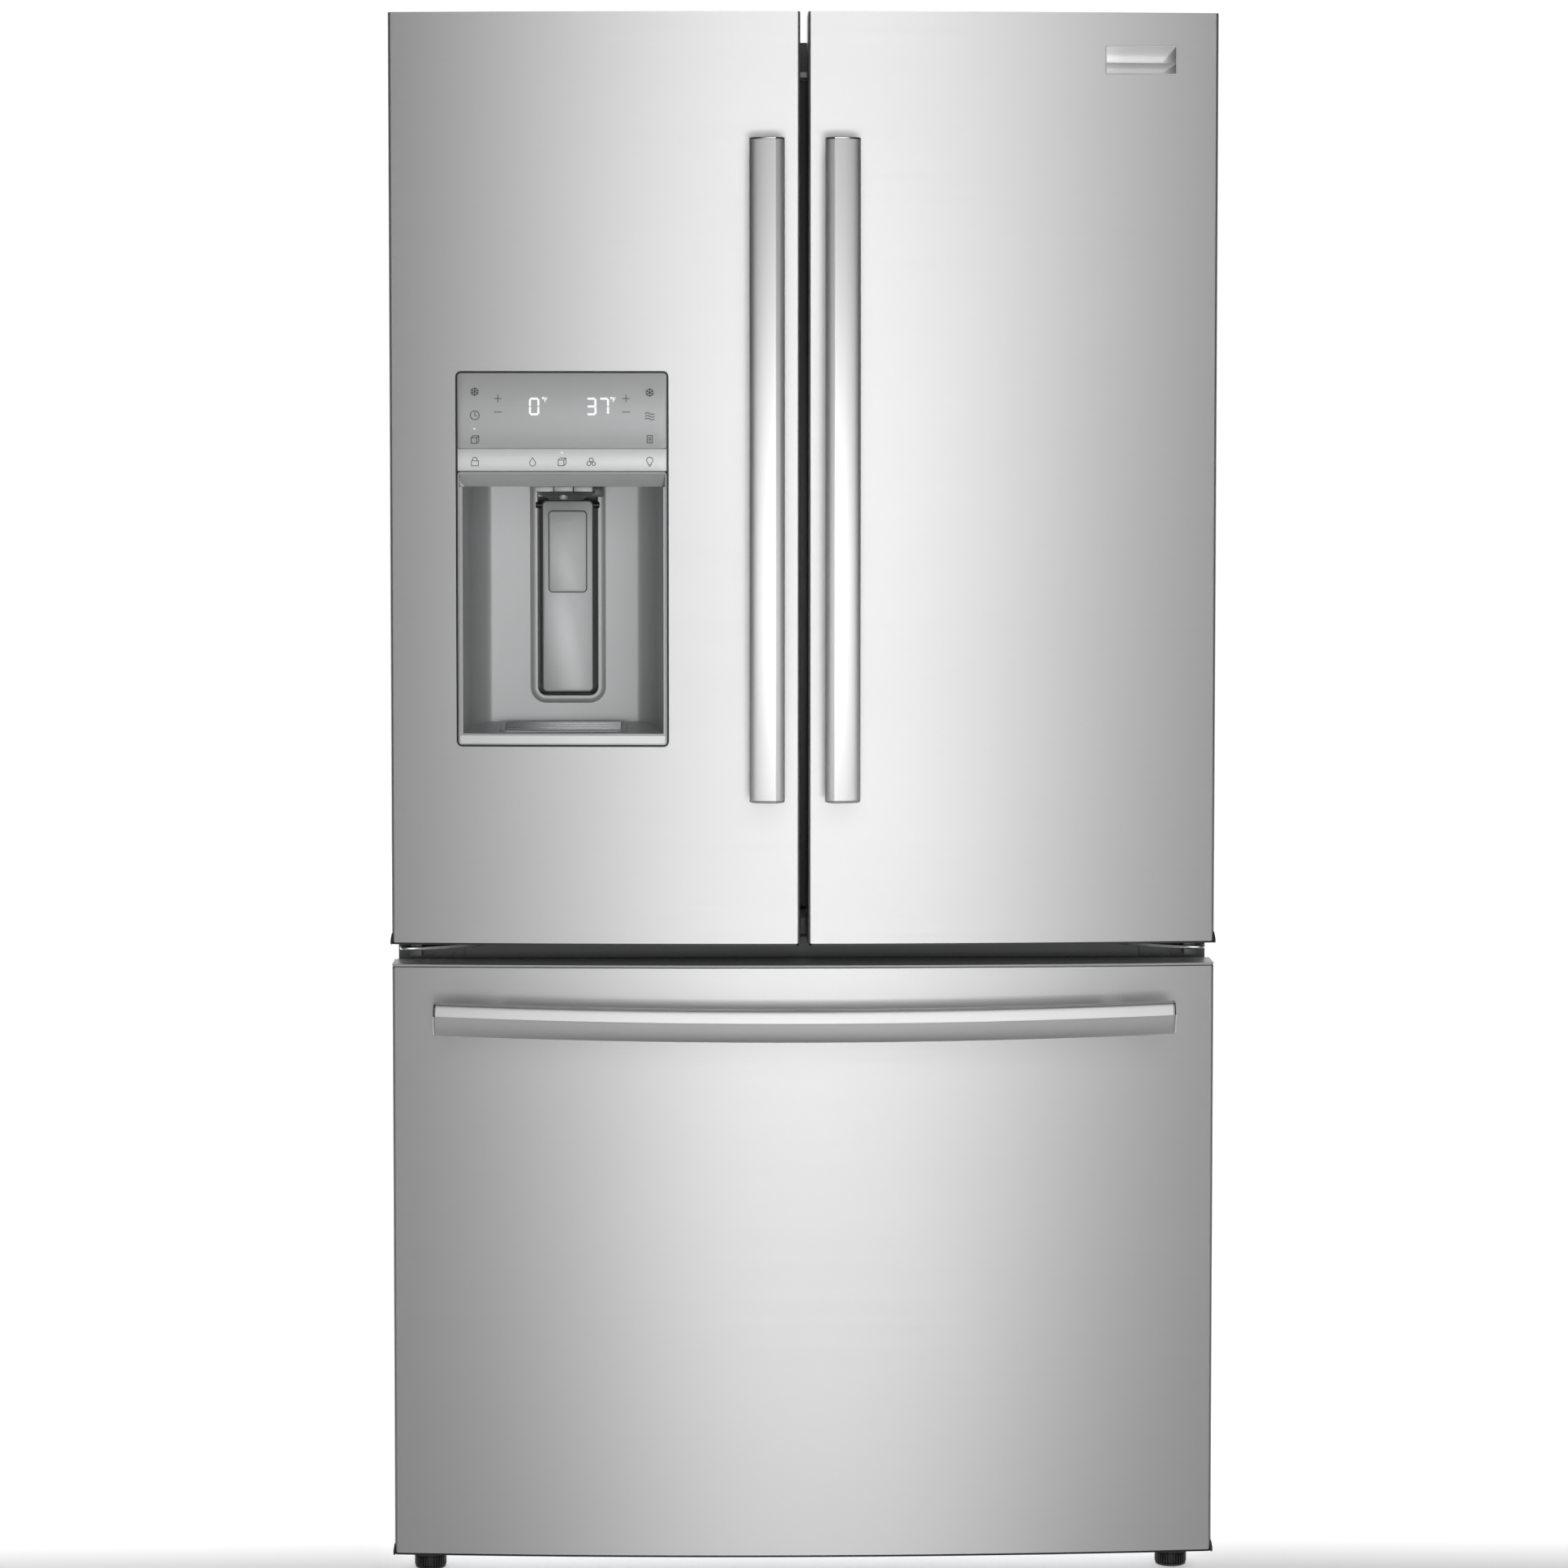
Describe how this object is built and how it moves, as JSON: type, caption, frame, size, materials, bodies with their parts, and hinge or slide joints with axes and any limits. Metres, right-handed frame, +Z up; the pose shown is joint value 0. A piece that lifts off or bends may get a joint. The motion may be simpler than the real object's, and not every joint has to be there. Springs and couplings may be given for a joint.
{
  "type": "french door refrigerator",
  "caption": "Tall french door refrigerator with a bowed front, bar handles, a door water and ice dispenser, folding centre seal and a full-width freezer drawer.",
  "frame": {"origin": "middle of the object's plan outline, on the floor under its feet", "axes": "+Z up, -Y out of the front, +X to the right of someone facing the doors"},
  "size_m": [0.905, 0.855, 1.742],
  "materials": {
    "stainless": "stainless sheet with a fine level brushing",
    "satin_metal": "satin metal, brushed along its length",
    "zinc_steel": "zinc plated pressed steel",
    "cabinet_paint": "textured grey enamel",
    "white_liner": "white moulded liner plastic",
    "grey_plastic": "matte mid grey plastic",
    "black_plastic": "satin black plastic",
    "seal_rubber": "dark grey magnetic door seal",
    "foam": "rigid insulating foam, hidden between shell and liners",
    "clear_plastic": "clear moulded plastic",
    "shelf_glass": "clear toughened glass",
    "compressor_black": "black enamelled pressed can",
    "copper_tube": "bare copper tube"
  },
  "bodies": {
    "cabinet": {"cabinet_shell": "cabinet_paint", "back_panel": "cabinet_paint", "cabinet_insulation": "foam", "fresh_food_liner": "white_liner", "freezer_liner": "white_liner", "centre_rail": "cabinet_paint", "base_frame": "zinc_steel", "machine_cover": "zinc_steel", "compressor": "compressor_black", "condenser_coil": "copper_tube", "evaporator_cover": "white_liner", "top_hinge_left": "zinc_steel", "top_hinge_right": "zinc_steel", "hinge_cover_left": "grey_plastic", "hinge_cover_right": "grey_plastic", "centre_hinge_left": "zinc_steel", "centre_hinge_right": "zinc_steel", "upper_shelf": "shelf_glass", "middle_shelf": "shelf_glass", "crisper_deck": "white_liner", "ice_maker": "white_liner", "water_filter": "grey_plastic", "freezer_rail_left": "zinc_steel", "freezer_rail_right": "zinc_steel"},
    "left_door": {"left_door_panel": "stainless", "left_door_liner": "white_liner", "left_door_gasket": "seal_rubber", "left_door_handle": "satin_metal", "left_upper_bin": "clear_plastic", "left_lower_bin": "clear_plastic", "dispenser_housing": "black_plastic", "dispenser_panel": "grey_plastic", "dispenser_nozzle": "grey_plastic", "drip_tray": "satin_metal"},
    "right_door": {"right_door_panel": "stainless", "right_door_liner": "white_liner", "right_door_gasket": "seal_rubber", "right_door_handle": "satin_metal", "right_upper_bin": "clear_plastic", "right_lower_bin": "clear_plastic"},
    "centre_seal": {"flipper_mullion": "black_plastic"},
    "paddle": {"dispenser_paddle": "black_plastic"},
    "freezer_drawer": {"drawer_panel": "stainless", "drawer_liner": "white_liner", "drawer_gasket": "seal_rubber", "drawer_handle": "satin_metal", "drawer_frame": "zinc_steel", "freezer_basket": "white_liner"},
    "upper_tray": {"freezer_tray": "clear_plastic"},
    "left_slide": {"freezer_slide_left": "zinc_steel"},
    "right_slide": {"freezer_slide_right": "zinc_steel"},
    "left_crisper": {"crisper_left": "clear_plastic"},
    "right_crisper": {"crisper_right": "clear_plastic"},
    "deli": {"deli_drawer": "clear_plastic"},
    "condenser_blades": {"condenser_fan": "black_plastic"},
    "evaporator_blades": {"evaporator_fan": "black_plastic"},
    "left_foot": {"levelling_foot_left": "black_plastic"},
    "right_foot": {"levelling_foot_right": "black_plastic"},
    "left_roller": {"rear_roller_left": "black_plastic"},
    "right_roller": {"rear_roller_right": "black_plastic"}
  },
  "joints": [
    {"name": "left_door_swing", "type": "hinge", "parent": "cabinet", "child": "left_door", "pos_m": [-0.4265, -0.3215, 0.724], "axis": [0, 0, -1], "range_deg": [0, 110]},
    {"name": "right_door_swing", "type": "hinge", "parent": "cabinet", "child": "right_door", "pos_m": [0.4265, -0.3215, 0.724], "axis": [0, 0, 1], "range_deg": [0, 110]},
    {"name": "flipper_fold", "type": "hinge", "parent": "left_door", "child": "centre_seal", "pos_m": [-0.0375, -0.2655, 0.7575], "axis": [0, 0, 1], "range_deg": [0, 85]},
    {"name": "paddle_press", "type": "hinge", "parent": "left_door", "child": "paddle", "pos_m": [-0.264, -0.2655, 1.2045], "axis": [1, 0, 0], "range_deg": [0, 7], "stiffness_Nm_per_rad": 1.5},
    {"name": "freezer_drawer_slide", "type": "slide", "parent": "cabinet", "child": "freezer_drawer", "axis": [0, -1, 0], "range_m": [0, 0.45]},
    {"name": "left_slide_travel", "type": "slide", "parent": "cabinet", "child": "left_slide", "axis": [0, -1, 0], "range_m": [0, 0.225]},
    {"name": "right_slide_travel", "type": "slide", "parent": "cabinet", "child": "right_slide", "axis": [0, -1, 0], "range_m": [0, 0.225]},
    {"name": "freezer_tray_slide", "type": "slide", "parent": "freezer_drawer", "child": "upper_tray", "axis": [0, 1, 0], "range_m": [0, 0.18]},
    {"name": "left_crisper_slide", "type": "slide", "parent": "cabinet", "child": "left_crisper", "axis": [0, -1, 0], "range_m": [0, 0.07]},
    {"name": "right_crisper_slide", "type": "slide", "parent": "cabinet", "child": "right_crisper", "axis": [0, -1, 0], "range_m": [0, 0.07]},
    {"name": "deli_drawer_slide", "type": "slide", "parent": "cabinet", "child": "deli", "axis": [0, -1, 0], "range_m": [0, 0.07]},
    {"name": "condenser_fan_spin", "type": "hinge", "parent": "cabinet", "child": "condenser_blades", "pos_m": [0.025, 0.31, 0.165], "axis": [1, 0, 0], "continuous": true},
    {"name": "evaporator_fan_spin", "type": "hinge", "parent": "cabinet", "child": "evaporator_blades", "pos_m": [0, 0.298, 0.56], "axis": [0, 1, 0], "continuous": true},
    {"name": "left_foot_turn", "type": "hinge", "parent": "cabinet", "child": "left_foot", "pos_m": [-0.42, -0.222, 0], "axis": [0, 0, 1], "continuous": true},
    {"name": "right_foot_turn", "type": "hinge", "parent": "cabinet", "child": "right_foot", "pos_m": [0.42, -0.222, 0], "axis": [0, 0, 1], "continuous": true},
    {"name": "left_roller_spin", "type": "hinge", "parent": "cabinet", "child": "left_roller", "pos_m": [-0.395, 0.345, 0.018], "axis": [1, 0, 0], "continuous": true},
    {"name": "right_roller_spin", "type": "hinge", "parent": "cabinet", "child": "right_roller", "pos_m": [0.395, 0.345, 0.018], "axis": [1, 0, 0], "continuous": true}
  ],
  "couplings": [
    {"joint": "left_slide_travel", "follows": "freezer_drawer_slide", "ratio": 0.5},
    {"joint": "right_slide_travel", "follows": "freezer_drawer_slide", "ratio": 0.5}
  ]
}
